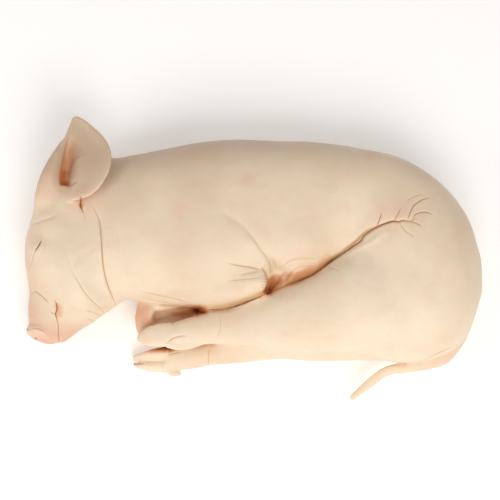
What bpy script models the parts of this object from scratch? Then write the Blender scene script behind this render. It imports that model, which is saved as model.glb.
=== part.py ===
"""A raw suckling pig, dressed whole and lying on its right side, head to -X and back to +Y.

The body is blocked out from lofts whose ribs run from the back edge to the belly edge of the
lying pig. The big masses are melted together with a coarse voxel remesh, the ears, snout, feet
and tail are added, and a finer remesh makes one skin of them all. The skin folds are pressed into
that, and it is thinned out and set down at the end. Metres, +Z up, origin in the middle of the
footprint.
"""

import math
from typing import NamedTuple

import bmesh
import bpy
import numpy as np
from mathutils import Matrix, Vector
from mathutils.bvhtree import BVHTree

MM = 0.001

# Driving dimensions. Every table below is in millimetres.
NAME = "suckling_pig"
RIB_POINTS = 32
RIB_STEPS = 4
ROUNDNESS = 2.3
RUMP_ROUNDNESS = 2.9
EAR_THICKNESS = 4.5
SNOUT_RADIUS = 18.0
SNOUT_CENTRE = (-231.0, -80.5, 28.0)
SNOUT_FACING = (-0.28, -0.91, 0.28)
MASS_VOXEL = 4.5
MASS_SMOOTHING = 12
SKIN_VOXEL = 2.2
SKIN_SMOOTHING = 3
TRIANGLES = 9600
SKIN_COLOUR = (0.86, 0.68, 0.52, 1.0)
SKIN_ROUGHNESS = 0.45
# Folds are drawn as they are seen from here, over the belly side, on a plane through FOCUS.
EYE = np.array((-2.0, -252.0, 1527.0))
FOCUS = np.array((-2.0, 8.4, 50.0))
# The far side of the head is drawn from here, under the table.
EYE_BELOW = np.array((-2.0, -252.0, -1427.0))


class Rib(NamedTuple):
    """A cross-section: its outer and inner edge from above, height of its middle, half height."""

    outer: tuple
    inner: tuple
    height: float
    half: float


class Fold(NamedTuple):
    """A fold in the skin: its depth, its half width and the line it follows.

    A fold that goes through runs round the piece, and its line is then a plan line.
    """

    depth: float
    width: float
    line: tuple
    through: bool = False


class Swell(NamedTuple):
    """A soft swelling of the skin, or a hollow where the height is below nothing."""

    centre: tuple
    radius: float
    height: float


# Neck, chest and belly, from the back edge to the belly edge.
TRUNK = (
    Rib((-152, 112), (-150, -46), 46, 43),
    Rib((-125, 116), (-122, -46), 48, 50),
    Rib((-92, 122), (-92, -47), 51, 54),
    Rib((-55, 129), (-58, -46), 52, 58),
    Rib((-15, 131), (-22, -46), 53, 58),
    Rib((22, 130), (16, -40), 53, 58),
    Rib((60, 129), (48, -36), 52, 57),
    Rib((100, 125), (85, -20), 51, 55),
    Rib((138, 117), (120, 0), 50, 53),
    Rib((172, 103), (150, 10), 49, 47),
)

# Both hams together, over the rump.
RUMP = (
    Rib((85, 100), (85, -85), 50, 30),
    Rib((115, 118), (115, -104), 53, 47),
    Rib((145, 115), (145, -114), 55, 58),
    Rib((172, 104), (172, -117), 56, 60),
    Rib((198, 86), (198, -112), 56, 60),
    Rib((220, 64), (220, -101), 55, 55),
    Rib((237, 37), (237, -78), 54, 44),
    Rib((246, 8), (246, -52), 54, 27),
)

# Head, swept round from the nape to the snout, from the forehead edge to the jaw edge.
HEAD = (
    Rib((-145, 112), (-140, -40), 46, 40),
    Rib((-172, 115), (-146, -52), 44, 40),
    Rib((-205, 111), (-152, -55), 43, 40),
    Rib((-229, 86), (-156, -58), 42, 42),
    Rib((-241, 55), (-164, -63), 41, 45),
    Rib((-250, 22), (-172, -69), 40, 45),
    Rib((-251, -6), (-182, -75), 37, 38),
    Rib((-246, -34), (-192, -80), 33, 29),
    Rib((-248, -52), (-198, -86), 30, 22),
    Rib((-248, -68), (-204, -90), 28, 16),
)

UPPER_LEG = (
    Rib((224, -60), (172, 58), 60, 34),
    Rib((192, -107), (137, 28), 71, 39),
    Rib((150, -117), (108, 4), 76, 38),
    Rib((116, -108), (88, -8), 75, 37),
    Rib((78, -106), (62, -24), 72, 33),
    Rib((45, -105), (38, -36), 68, 28),
    Rib((10, -100), (12, -44), 63, 23),
    Rib((-20, -97), (-18, -56), 58, 18.5),
    Rib((-50, -97), (-48, -62), 54, 16),
    Rib((-76, -98), (-72, -67), 52, 14.5),
    Rib((-94, -97), (-92, -73), 50, 12),
)

LOWER_LEG = (
    Rib((200, -60), (150, 30), 34, 32),
    Rib((180, -106), (128, 5), 34, 36),
    Rib((146, -112), (100, -10), 32, 35),
    Rib((106, -112), (76, -34), 29, 31),
    Rib((66, -112), (50, -60), 25, 27),
    Rib((32, -109), (25, -70), 21, 22),
    Rib((-8, -113), (-10, -82), 17, 17.5),
    Rib((-45, -116), (-42, -86), 15, 15.5),
    Rib((-72, -121), (-68, -90), 14, 14.5),
    Rib((-98, -122), (-92, -94), 13, 13.5),
)

# The inside of the thighs, pressed against each other and the belly.
GROIN = (
    Rib((100, -10), (100, -100), 48, 42),
    Rib((60, -30), (60, -101), 44, 37),
    Rib((25, -42), (25, -97), 40, 31),
    Rib((-8, -48), (-8, -95), 36, 25),
    Rib((-36, -50), (-36, -92), 33, 19),
)

# The near foreleg down to its bent wrist, and its foot folded back under the hind feet.
UPPER_FORELEG = (
    Rib((-60, 60), (-20, -30), 74, 24),
    Rib((-20, 50), (12, -34), 78, 26),
    Rib((10, 6), (14, -44), 72, 28),
    Rib((-8, -10), (-12, -54), 66, 28),
    Rib((-50, -14), (-46, -56), 56, 24),
    Rib((-86, -22), (-80, -54), 46, 18),
    Rib((-118, -40), (-100, -58), 38, 13),
)
UPPER_FOREFOOT = (
    Rib((-126, -48), (-104, -54), 35, 14),
    Rib((-129, -68), (-108, -64), 33, 14),
    Rib((-122, -86), (-104, -70), 29, 13),
    Rib((-92, -88), (-88, -62), 25, 12),
    Rib((-60, -88), (-58, -60), 24, 11),
)

# The far foreleg lies folded on the table, under the near one.
LOWER_FORELEG = (
    Rib((-10, 20), (-14, -56), 30, 26),
    Rib((-52, -6), (-50, -66), 22, 20),
    Rib((-88, -20), (-86, -64), 17, 16),
    Rib((-112, -34), (-100, -62), 15, 14),
)
LOWER_FOREFOOT = (
    Rib((-118, -48), (-94, -54), 14, 13),
    Rib((-119, -66), (-96, -64), 13, 13),
    Rib((-108, -84), (-94, -66), 12, 12.5),
    Rib((-84, -88), (-82, -62), 11, 11.5),
    Rib((-56, -88), (-56, -64), 10, 10.5),
)

# Claws: two to a foot, from the pastern to the tip.
CLAWS = {
    "upper_hind_outer": (
        Rib((-88, -99), (-88, -72), 55, 8),
        Rib((-104, -99), (-103, -74), 54, 7.5),
        Rib((-115, -97.5), (-114, -77), 52, 6.5),
        Rib((-122, -94), (-121, -82), 50, 4.5),
    ),
    "upper_hind_inner": (
        Rib((-84, -97), (-84, -73), 44, 8),
        Rib((-100, -97), (-100, -75), 42, 7.5),
        Rib((-111, -96), (-110, -78), 40, 6.5),
        Rib((-118, -92), (-117, -83), 39, 4.5),
    ),
    "lower_hind_outer": (
        Rib((-94, -109), (-93, -94), 15, 10),
        Rib((-110, -109.5), (-109, -97), 13.5, 9),
        Rib((-123, -109), (-122, -101), 11.5, 7),
        Rib((-130, -107.5), (-129, -103.5), 10, 5),
    ),
    "lower_hind_inner": (
        Rib((-94, -123), (-94, -109), 13, 10),
        Rib((-110, -123), (-110, -111), 11.5, 9),
        Rib((-123, -119), (-122, -111.5), 10.5, 7),
        Rib((-130, -116), (-129, -112), 10, 5),
    ),
    "upper_fore_outer": (
        Rib((-62, -88), (-62, -60), 31, 7),
        Rib((-46, -87), (-46, -62), 30, 6.5),
        Rib((-34, -83), (-34, -68), 28, 5),
    ),
    "upper_fore_inner": (
        Rib((-60, -87), (-60, -62), 22, 7),
        Rib((-43, -86), (-43, -64), 21, 6.5),
        Rib((-31, -82), (-31, -69), 21, 5),
    ),
    "lower_fore_outer": (
        Rib((-58, -88), (-58, -64), 14, 6.5),
        Rib((-42, -87), (-42, -66), 13, 6),
        Rib((-30, -83), (-30, -70), 12, 4.5),
    ),
    "lower_fore_inner": (
        Rib((-55, -87), (-55, -66), 6.5, 6),
        Rib((-39, -86), (-39, -68), 6, 5.5),
        Rib((-27, -82), (-27, -72), 6, 4.5),
    ),
}

# Dew claws: middle, radii and turn about the vertical.
DEW_CLAWS = {
    "upper_hind_dew": ((-81, -98, 54), (13, 6, 7), 12),
    "lower_hind_dew": ((-84, -124, 13), (8, 5, 5), -5),
    "lower_hind_dew_far": ((-74, -94, 22), (12, 5, 5), 8),
}

TAIL = (
    Rib((240, -76), (222, -92), 44, 14),
    Rib((231, -95), (214, -100), 38, 12),
    Rib((212, -116), (200, -104), 33, 9),
    Rib((178, -124), (176, -112), 30, 7),
    Rib((150, -128), (146, -118), 28, 5),
    Rib((132, -140), (125, -133), 26, 3.8),
    Rib((112, -154), (108, -149), 24, 2.6),
)

# The thick front wall of the near ear, which rises from the side of the head.
EAR_WALL = (
    Rib((-238, 44), (-198, 44), 54, 20),
    Rib((-240, 62), (-204, 64), 56, 25),
    Rib((-235, 80), (-207, 81), 59, 31),
    Rib((-227, 96), (-206.5, 96), 64, 28),
    Rib((-218, 112), (-204, 110), 70, 20),
    Rib((-209, 126), (-201, 124), 76, 10),
)

# The near ear as a cupped leaf, from its foot to its tip, each row from the front rim over the
# deep of the cup and the inner ridge to the rear rim.
UPPER_EAR = (
    ((-207, 58, 80), (-199, 54, 84), (-193, 54, 89), (-184, 56, 92), (-171, 61, 93)),
    ((-209, 70, 88), (-203, 75, 72), (-194, 74, 82), (-183, 72, 84), (-163, 69, 95)),
    ((-210, 83, 93), (-204, 86, 66), (-193, 88, 83), (-181, 83, 81), (-155, 78, 95)),
    ((-208, 97, 93), (-202, 100, 67), (-188, 100, 83), (-174, 96, 81), (-150, 94, 93)),
    ((-206, 112, 90), (-200, 115, 71), (-184, 111, 80), (-170, 111, 80), (-150, 111, 90)),
    ((-203, 128, 84), (-197, 130, 74), (-185, 127, 76), (-176, 126, 76), (-160, 129, 83)),
    ((-200, 143, 78), (-195, 144, 73), (-189, 143, 72), (-184, 143, 73), (-176, 143, 77)),
    ((-198, 154, 75), (-194, 155, 73), (-191, 155, 72), (-188, 153, 73), (-184, 150, 75)),
)
# The far ear lies under it, flat on the table.
LOWER_EAR = (
    ((-204, 70, 22), (-196, 72, 16), (-186, 72, 14), (-174, 72, 16), (-162, 72, 22)),
    ((-206, 92, 13), (-197, 93, 6), (-186, 93, 5), (-172, 93, 6), (-158, 92, 13)),
    ((-203, 112, 9), (-196, 113, 4), (-186, 113, 3), (-174, 112, 4), (-161, 110, 9)),
    ((-198, 129, 6), (-193, 130, 3), (-186, 130, 2.5), (-178, 129, 3), (-170, 126, 6)),
    ((-193, 140, 4), (-190, 141, 3), (-187, 141, 2.5), (-184, 140, 3), (-181, 138, 4)),
)

SWELLS = (
    Swell((-180, -2), 46, 3),
    Swell((-236, 10), 16, 3.0),
    Swell((-222, 40), 22, 2.5),
    Swell((-222, -28), 24, -2.5),
    Swell((-60, 20), 62, 3),
    Swell((-2, -26), 24, 5),
    Swell((25, -26), 14, -4),
    Swell((58, 12), 34, 3),
    Swell((-118, 10), 34, 2),
    Swell((30, 90), 60, 1.5),
    Swell((155, -48), 56, 3),
)

# Folds of the upper side.
FOLDS = {
    "flank": Fold(8, 4.2, (
        (10, -47), (31, -37.5), (56, -25.5), (76, -10.5), (98, 1.5), (114, 15),
    )),
    "flank_end": Fold(5, 2.8, (
        (90, -3), (98, 1.5), (120, 21), (138, 35), (156, 39.5), (180, 41.5),
    )),
    "flank_upper": Fold(1.6, 2.6, ((133, 35.5), (121, 31), (112, 23), (107, 16))),
    "thigh_edge": Fold(-1.6, 5.0, ((78, -15), (103, 0), (121, 10), (143, 22))),
    "neck": Fold(5.5, 3.0, (
        (-180, 60), (-172, 51.5), (-168, 39), (-166.5, 16), (-164.5, -5), (-160.5, -27.5),
        (-154, -42), (-149, -54),
    )),
    "neck_rear": Fold(1.2, 3.5, ((-147, 36), (-147, 21), (-146, -8), (-144, -24))),
    "behind_ear": Fold(5, 2.4, ((-188, 65), (-189, 61), (-190, 56), (-186, 51), (-182, 38))),
    "brow": Fold(2.2, 3.2, ((-243, 36), (-231, 42), (-216, 46))),
    "eyelids": Fold(4, 2.0, ((-230, 27), (-232.5, 18), (-234.5, 14), (-239.5, 4.5), (-242, -8))),
    "nose_bridge": Fold(3.2, 2.4, ((-245, -37), (-237.5, -39), (-230, -45), (-223, -51))),
    "mouth": Fold(4.5, 2.0, (
        (-221, -43), (-216.5, -47), (-215, -54), (-215, -62), (-214, -72), (-214, -94),
    ), True),
    "jaw": Fold(2.4, 2.8, ((-199, -9), (-190, -29), (-179, -43), (-171, -51), (-158, -58))),
    "jaw_mid": Fold(1.6, 2.2, ((-208, -49), (-190, -59), (-180, -60))),
    "jaw_low": Fold(1.8, 2.2, ((-185, -58), (-171, -62), (-160, -63))),
    "shoulder": Fold(1.6, 5.0, ((-13, 49), (-5, 27), (5, 14), (13, 3), (18, -10))),
    "chest_edge": Fold(6, 3.4, ((20, -38), (10, -44), (-3, -50), (-16, -54.5), (-32, -57))),
    "elbow": Fold(6, 3.0, ((13, -8), (16, -16), (17, -26), (15, -35), (9, -42))),
    "elbow_upper": Fold(1.8, 2.6, ((-29, -5), (-13, -9), (0, -11.5), (11, -14.5))),
    "elbow_lower": Fold(1.4, 2.4, ((-13, -23.5), (3, -22))),
    "belly": Fold(2.0, 3.2, ((34, -8), (43, -3), (56, -1), (70, -3))),
    "belly_front": Fold(1.8, 2.4, ((28, -25), (38, -15))),
    "forearm": Fold(2.2, 3.0, ((-123, -37), (-100, -42), (-84, -45), (-68, -51))),
    "gather_a": Fold(1.8, 2.4, ((137, 34), (142, 49))),
    "gather_b": Fold(2.4, 2.4, ((156, 40), (164, 55))),
    "gather_c": Fold(2.6, 2.6, ((172, 41), (175, 52), (181, 60), (196, 67))),
    "gather_d": Fold(2.2, 2.2, ((179, 43), (184, 49), (189, 50), (199, 48))),
    "gather_e": Fold(1.8, 2.2, ((175, 40), (187, 34))),
    "gather_f": Fold(1.8, 2.4, ((164, 39), (168, 31), (178, 24))),
    "hock_upper": Fold(1.2, 2.4, ((-34, -58), (-35, -72), (-38, -90))),
    "hock_lower": Fold(1.2, 2.4, ((-46, -96), (-46, -108), (-46, -124))),
    "dew_claw": Fold(2.2, 1.8, ((-93, -92.5), (-83, -88.5), (-74, -86))),
    "ear_cup": Fold(7, 3.6, ((-204, 77), (-205, 86), (-204, 96), (-201, 106))),
    "ear_cup_foot": Fold(4, 3.2, ((-204, 78), (-199, 80), (-194, 83))),
    "snout_rim": Fold(1.8, 1.8, (
        (-247, -82.5), (-241.5, -78), (-234, -78.5), (-227, -82.5), (-220.5, -88), (-215, -93),
    )),
    "nostril": Fold(4, 1.8, ((-240, -88.4), (-236, -89.6))),
    "cleft": Fold(3, 2.0, ((-144, -110.5), (-125, -110), (-112, -109.5)), True),
}
# Folds that the far side of the head has too, on the table.
HIDDEN_FOLDS = ("eyelids", "nose_bridge", "jaw", "nostril")


def powered(value, power):
    """A cosine or sine pulled out towards the corners, for a superellipse."""
    return math.copysign(abs(value) ** (2.0 / power), value)


def spline(a, b, c, d, t):
    """The point at t between b and c, on the smooth curve through a, b, c and d."""
    return 0.5 * (2 * b + (c - a) * t + (2 * a - 5 * b + 4 * c - d) * t * t
                  + (3 * b - a - 3 * c + d) * t ** 3)


def smooth_rows(rows, steps):
    """Rows of numbers with smooth ones added between each two."""
    rows = [np.array(row, float) for row in rows]
    rows = [2 * rows[0] - rows[1], *rows, 2 * rows[-1] - rows[-2]]
    fine = []
    for i in range(1, len(rows) - 2):
        for k in range(steps):
            fine.append(spline(*rows[i - 1:i + 3], k / steps))
    fine.append(rows[-2])
    return fine


def dome(row, before, length):
    """Rows that round off the end of a loft beyond row, and the point at its top."""
    middle = (row[:2] + row[2:4]) / 2
    ahead = middle - (before[:2] + before[2:4]) / 2
    ahead = ahead / np.linalg.norm(ahead)
    rows = []
    for k in range(1, 6):
        angle = math.pi * k / 12
        centre = middle + ahead * length * math.sin(angle)
        outer = centre + (row[:2] - middle) * math.cos(angle)
        inner = centre + (row[2:4] - middle) * math.cos(angle)
        rows.append(np.array([*outer, *inner, row[4], row[5] * math.cos(angle)]))
    return rows, (*(middle + ahead * length), row[4])


def linked(name, mesh):
    """A new object in the scene from a bmesh in millimetres."""
    bmesh.ops.scale(mesh, vec=(MM, MM, MM), verts=mesh.verts)
    data = bpy.data.meshes.new(name)
    mesh.to_mesh(data)
    mesh.free()
    obj = bpy.data.objects.new(name, data)
    bpy.context.scene.collection.objects.link(obj)
    return obj


def loft(name, ribs, start, end, roundness=ROUNDNESS):
    """A closed skin over the ribs, rounded off by the lengths start and end."""
    rows = smooth_rows([(*rib.outer, *rib.inner, rib.height, rib.half) for rib in ribs], RIB_STEPS)
    first_rows, first_pole = dome(rows[0], rows[1], start)
    last_rows, last_pole = dome(rows[-1], rows[-2], end)
    rows = first_rows[::-1] + rows + last_rows
    mesh = bmesh.new()
    rings = []
    for ox, oy, ix, iy, height, half in rows:
        ring = []
        for k in range(RIB_POINTS):
            angle = 2 * math.pi * k / RIB_POINTS
            across = powered(math.cos(angle), roundness)
            up = powered(math.sin(angle), roundness)
            x = (ox + ix) / 2 + (ox - ix) / 2 * across
            y = (oy + iy) / 2 + (oy - iy) / 2 * across
            ring.append(mesh.verts.new((x, y, height + half * up)))
        rings.append(ring)
    for near, far in zip(rings, rings[1:]):
        for k in range(RIB_POINTS):
            n = (k + 1) % RIB_POINTS
            mesh.faces.new((near[k], near[n], far[n], far[k]))
    for ring, pole in ((rings[0], first_pole), (rings[-1], last_pole)):
        tip = mesh.verts.new(pole)
        for k in range(RIB_POINTS):
            mesh.faces.new((ring[k], ring[(k + 1) % RIB_POINTS], tip))
    bmesh.ops.recalc_face_normals(mesh, faces=mesh.faces)
    return linked(name, mesh)


def leaf(name, rows, thickness):
    """A thin leaf from a coarse cage of rows."""
    mesh = bmesh.new()
    grid = [[mesh.verts.new(point) for point in row] for row in rows]
    for near, far in zip(grid, grid[1:]):
        for k in range(len(near) - 1):
            mesh.faces.new((near[k], near[k + 1], far[k + 1], far[k]))
    bmesh.ops.recalc_face_normals(mesh, faces=mesh.faces)
    obj = linked(name, mesh)
    wall = obj.modifiers.new("wall", "SOLIDIFY")
    wall.thickness = thickness * MM
    wall.offset = 0
    fine = obj.modifiers.new("soften", "SUBSURF")
    fine.levels = 2
    fine.render_levels = 2
    return obj


def ball(name, centre, radii, turn=0.0):
    """An ellipsoid turned about the vertical by so many degrees."""
    mesh = bmesh.new()
    bmesh.ops.create_uvsphere(mesh, u_segments=24, v_segments=16, radius=1)
    bmesh.ops.scale(mesh, vec=radii, verts=mesh.verts)
    bmesh.ops.rotate(mesh, matrix=Matrix.Rotation(math.radians(turn), 3, "Z"), verts=mesh.verts)
    bmesh.ops.translate(mesh, vec=centre, verts=mesh.verts)
    return linked(name, mesh)


def snout_disc():
    """The flat end of the snout, leaning back a little, with a rounded rim."""
    mesh = bmesh.new()
    bmesh.ops.create_cone(mesh, cap_ends=True, segments=32, radius1=SNOUT_RADIUS,
                          radius2=SNOUT_RADIUS, depth=12)
    caps = [face for face in mesh.faces if len(face.verts) > 4]
    rims = [edge for face in caps for edge in face.edges]
    bmesh.ops.bevel(mesh, geom=rims, offset=3, segments=3, affect="EDGES", profile=0.5, material=-1)
    facing = Vector(SNOUT_FACING).to_track_quat("Z", "Y").to_matrix()
    bmesh.ops.rotate(mesh, matrix=facing, verts=mesh.verts)
    bmesh.ops.translate(mesh, vec=SNOUT_CENTRE, verts=mesh.verts)
    return linked("snout_disc", mesh)


def baked(obj, name):
    """A new object with the modifiers of obj applied; obj itself is removed."""
    graph = bpy.context.evaluated_depsgraph_get()
    data = bpy.data.meshes.new_from_object(obj.evaluated_get(graph))
    bpy.data.objects.remove(obj)
    data.name = name
    result = bpy.data.objects.new(name, data)
    bpy.context.scene.collection.objects.link(result)
    return result


def melted(name, pieces, voxel, smoothing):
    """The pieces as one closed skin: joined, remeshed in voxels and smoothed."""
    mesh = bmesh.new()
    for piece in pieces:
        piece = baked(piece, piece.name)
        mesh.from_mesh(piece.data)
        bpy.data.objects.remove(piece)
    bmesh.ops.scale(mesh, vec=(1 / MM, 1 / MM, 1 / MM), verts=mesh.verts)
    obj = linked(name, mesh)
    remesh = obj.modifiers.new("one skin", "REMESH")
    remesh.mode = "VOXEL"
    remesh.voxel_size = voxel * MM
    smooth = obj.modifiers.new("soften", "SMOOTH")
    smooth.factor = 0.5
    smooth.iterations = smoothing
    return baked(obj, name)


def points_of(data):
    """The vertices of a mesh in millimetres."""
    flat = np.empty(len(data.vertices) * 3)
    data.vertices.foreach_get("co", flat)
    return flat.reshape(-1, 3) / MM


def normals_of(data):
    """The vertex normals of a mesh."""
    flat = np.empty(len(data.vertices) * 3)
    data.vertices.foreach_get("normal", flat)
    return flat.reshape(-1, 3)


def put_points(data, points):
    """Moves the vertices of a mesh to points in millimetres."""
    data.vertices.foreach_set("co", (points * MM).ravel())
    data.update()


def as_seen(points, eye):
    """Where points appear from eye, on the plane through FOCUS that faces it."""
    back = (eye - FOCUS) / np.linalg.norm(eye - FOCUS)
    side = np.array((1.0, 0.0, 0.0))
    upward = np.cross(back, side)
    if upward[1] < 0:
        upward = -upward
    away = points - eye
    scale = -np.linalg.norm(eye - FOCUS) / (away @ back)
    across = (away @ side) * scale + FOCUS[0]
    along = (away @ upward) * scale + FOCUS[1] * upward[1]
    return np.column_stack((across, along))


def shown_from(data, eye):
    """How far each point faces eye, from 0 to 1, and 0 where another part of the skin hides it."""
    points = points_of(data)
    towards = eye - points
    towards /= np.linalg.norm(towards, axis=1)[:, None]
    facing = np.clip(2.5 * np.sum(normals_of(data) * towards, axis=1), 0, 1)
    tree = BVHTree.FromPolygons(points.tolist(), [face.vertices[:] for face in data.polygons])
    for i in np.flatnonzero(facing):
        ray = Vector(towards[i])
        if tree.ray_cast(Vector(points[i]) + ray * 0.5, ray)[0] is not None:
            facing[i] = 0
    return facing


def distance_to_line(points, line):
    """Distance of each point to a smooth line, and the share of its length where it is nearest."""
    fine = np.array(smooth_rows(line, 6) if len(line) > 2 else smooth_rows(line, 12))
    steps = np.linalg.norm(np.diff(fine, axis=0), axis=1)
    reached = np.concatenate(((0.0,), np.cumsum(steps)))
    best = np.full(len(points), 1e9)
    share = np.zeros(len(points))
    for start, end, before, step in zip(fine, fine[1:], reached, steps):
        run = (end - start) / step
        along = np.clip((points - start) @ run, 0, step)
        gap = np.linalg.norm(points - start - along[:, None] * run, axis=1)
        nearer = gap < best
        best[nearer] = gap[nearer]
        share[nearer] = ((before + along) / reached[-1])[nearer]
    return best, share


def press_folds(data, folds, eye, shown):
    """Presses folds into the skin that shows from eye, with a soft lip on both sides of each."""
    for fold in folds:
        points = points_of(data)
        if fold.through:
            drawn, strength = points[:, :2], np.ones(len(points))
        else:
            drawn, strength = as_seen(points, eye), shown
        reach = 4 * fold.width
        low = np.min(fold.line, axis=0) - reach
        high = np.max(fold.line, axis=0) + reach
        near = (strength > 0) & np.all((drawn > low) & (drawn < high), axis=1)
        gap, share = distance_to_line(drawn[near], fold.line)
        taper = np.clip(np.minimum(share, 1 - share) * 5, 0, 1) ** 0.5
        valley = np.exp(-(gap / fold.width) ** 2)
        lip = 0.35 * np.exp(-((gap - 2.1 * fold.width) / fold.width) ** 2)
        rise = fold.depth * taper * strength[near] * (lip - valley)
        points[near] += normals_of(data)[near] * rise[:, None]
        put_points(data, points)


def swell_skin(data, swells, eye, shown):
    """Raises soft swellings on the skin that shows from eye."""
    points = points_of(data)
    drawn = as_seen(points, eye)
    rise = np.zeros(len(points))
    for swell in swells:
        gap = np.linalg.norm(drawn - swell.centre, axis=1) / swell.radius
        rise += swell.height * np.clip(1 - gap ** 2, 0, 1) ** 2
    put_points(data, points + normals_of(data) * (rise * shown)[:, None])


def rest_flat(data):
    """Cuts the underside flat where it lies on the table, and centres the footprint."""
    mesh = bmesh.new()
    mesh.from_mesh(data)
    whole = mesh.verts[:] + mesh.edges[:] + mesh.faces[:]
    cut = bmesh.ops.bisect_plane(mesh, geom=whole, dist=1e-7, plane_co=(0, 0, 0),
                                 plane_no=(0, 0, -1), clear_outer=True)["geom_cut"]
    bmesh.ops.holes_fill(mesh, edges=[e for e in cut if isinstance(e, bmesh.types.BMEdge)])
    bmesh.ops.triangulate(mesh, faces=[face for face in mesh.faces if len(face.verts) > 3])
    mesh.to_mesh(data)
    mesh.free()
    points = points_of(data)
    points[:, :2] -= (points[:, :2].max(axis=0) + points[:, :2].min(axis=0)) / 2
    put_points(data, points)


def skin_material():
    """Pale, slightly moist scalded skin."""
    skin = bpy.data.materials.new("pale_skin")
    skin.use_nodes = True
    shader = skin.node_tree.nodes["Principled BSDF"]
    shader.inputs["Base Color"].default_value = SKIN_COLOUR
    shader.inputs["Roughness"].default_value = SKIN_ROUGHNESS
    shader.inputs["Metallic"].default_value = 0.0
    return skin


for old in list(bpy.data.objects):
    bpy.data.objects.remove(old)

body = melted("body", [
    loft("trunk", TRUNK, 30, 30),
    loft("rump", RUMP, 8, 4, RUMP_ROUNDNESS),
    loft("head", HEAD, 20, 10),
    loft("upper_leg", UPPER_LEG, 20, 4),
    loft("lower_leg", LOWER_LEG, 20, 4),
    loft("groin", GROIN, 10, 10),
    loft("upper_foreleg", UPPER_FORELEG, 15, 10),
    loft("lower_foreleg", LOWER_FORELEG, 15, 10),
    loft("ear_wall", EAR_WALL, 14, 6),
    ball("ear_root", (-198, 54, 64), (28, 20, 21)),
    ball("ear_underside", (-186, 92, 54), (26, 30, 20)),
], MASS_VOXEL, MASS_SMOOTHING)

pieces = [
    body,
    loft("upper_forefoot", UPPER_FOREFOOT, 8, 4),
    loft("lower_forefoot", LOWER_FOREFOOT, 8, 4),
    loft("tail", TAIL, 6, 3),
    leaf("upper_ear", UPPER_EAR, EAR_THICKNESS),
    leaf("lower_ear", LOWER_EAR, EAR_THICKNESS),
    snout_disc(),
]
pieces += [loft(name, ribs, 3, 4) for name, ribs in CLAWS.items()]
pieces += [ball(name, *place) for name, place in DEW_CLAWS.items()]
pig = melted(NAME, pieces, SKIN_VOXEL, SKIN_SMOOTHING)

upper = shown_from(pig.data, EYE)
under = shown_from(pig.data, EYE_BELOW)
swell_skin(pig.data, SWELLS, EYE, upper)
press_folds(pig.data, FOLDS.values(), EYE, upper)
press_folds(pig.data, [FOLDS[name] for name in HIDDEN_FOLDS], EYE_BELOW, under)

thin = pig.modifiers.new("thin out", "DECIMATE")
thin.ratio = TRIANGLES / (2 * len(pig.data.polygons))
pig = baked(pig, NAME)
rest_flat(pig.data)
pig.data.shade_smooth()
pig.data.materials.append(skin_material())

collection = bpy.data.collections.new(NAME)
bpy.context.scene.collection.children.link(collection)
bpy.context.scene.collection.objects.unlink(pig)
collection.objects.link(pig)
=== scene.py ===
"""Looks of a raw suckling pig, dressed whole, that lies on its right side with its left side up.

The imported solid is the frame. One fine skin replaces it: the carcass, head, ears and feet are
modelled as soft blocks in its place, melted into one surface, creased, and coloured. The tables
are in millimetres, in the frame's own axes.
"""

import math
from typing import NamedTuple

import bmesh
import bpy
import numpy as np
from mathutils import Matrix, Vector, noise
from mathutils.bvhtree import BVHTree


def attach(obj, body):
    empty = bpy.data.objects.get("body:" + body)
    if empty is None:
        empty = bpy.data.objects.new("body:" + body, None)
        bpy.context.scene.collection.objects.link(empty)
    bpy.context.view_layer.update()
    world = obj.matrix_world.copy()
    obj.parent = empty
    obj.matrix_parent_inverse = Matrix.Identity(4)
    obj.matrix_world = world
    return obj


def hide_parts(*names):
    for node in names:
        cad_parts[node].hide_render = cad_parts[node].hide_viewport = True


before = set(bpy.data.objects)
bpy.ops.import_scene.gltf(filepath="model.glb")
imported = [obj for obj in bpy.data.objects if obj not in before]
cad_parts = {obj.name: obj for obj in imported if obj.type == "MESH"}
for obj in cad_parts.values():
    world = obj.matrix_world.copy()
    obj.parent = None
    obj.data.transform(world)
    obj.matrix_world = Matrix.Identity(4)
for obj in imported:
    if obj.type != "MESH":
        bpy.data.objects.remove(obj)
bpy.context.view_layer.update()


# ------------------------------------------------------------------------------------------
# Trunk, hams and legs. The real carcass is one skin over muscle and bone, gutted through the
# belly and laid on its side with the legs folded forward. Each muscle group is a soft tube of
# rounded ribs that run from the back edge to the belly edge.

MM = 0.001
RIB_POINTS = 32
RIB_STEPS = 4


def placed(name, data):
    """A new object in the scene."""
    obj = bpy.data.objects.new(name, data)
    bpy.context.scene.collection.objects.link(obj)
    return obj


def linked(name, mesh):
    """A new object in the scene from a bmesh in millimetres."""
    bmesh.ops.scale(mesh, vec=(MM, MM, MM), verts=mesh.verts)
    data = bpy.data.meshes.new(name)
    mesh.to_mesh(data)
    mesh.free()
    return placed(name, data)


def smooth_rows(rows, steps):
    """Rows of numbers with smooth ones added between each two, on a Catmull-Rom curve."""
    rows = [np.array(row, float) for row in rows]
    rows = [2 * rows[0] - rows[1], *rows, 2 * rows[-1] - rows[-2]]
    fine = []
    for a, b, c, d in zip(rows, rows[1:], rows[2:], rows[3:]):
        for t in np.arange(steps) / steps:
            bend = 2 * a - 5 * b + 4 * c - d
            twist = 3 * b - a - 3 * c + d
            fine.append(0.5 * (2 * b + (c - a) * t + bend * t ** 2 + twist * t ** 3))
    fine.append(rows[-2])
    return fine


def domed(row, before, length):
    """Shrinking copies of an end row that round a tube off beyond it."""
    middle = (row[:2] + row[2:4]) / 2
    ahead = middle - (before[:2] + before[2:4]) / 2
    ahead = ahead / np.linalg.norm(ahead)
    rows = []
    for angle in np.radians((15, 30, 45, 60, 75, 85)):
        centre = middle + ahead * length * math.sin(angle)
        outer = centre + (row[:2] - middle) * math.cos(angle)
        inner = centre + (row[2:4] - middle) * math.cos(angle)
        rows.append(np.array((*outer, *inner, row[4], row[5] * math.cos(angle))))
    return rows


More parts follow.
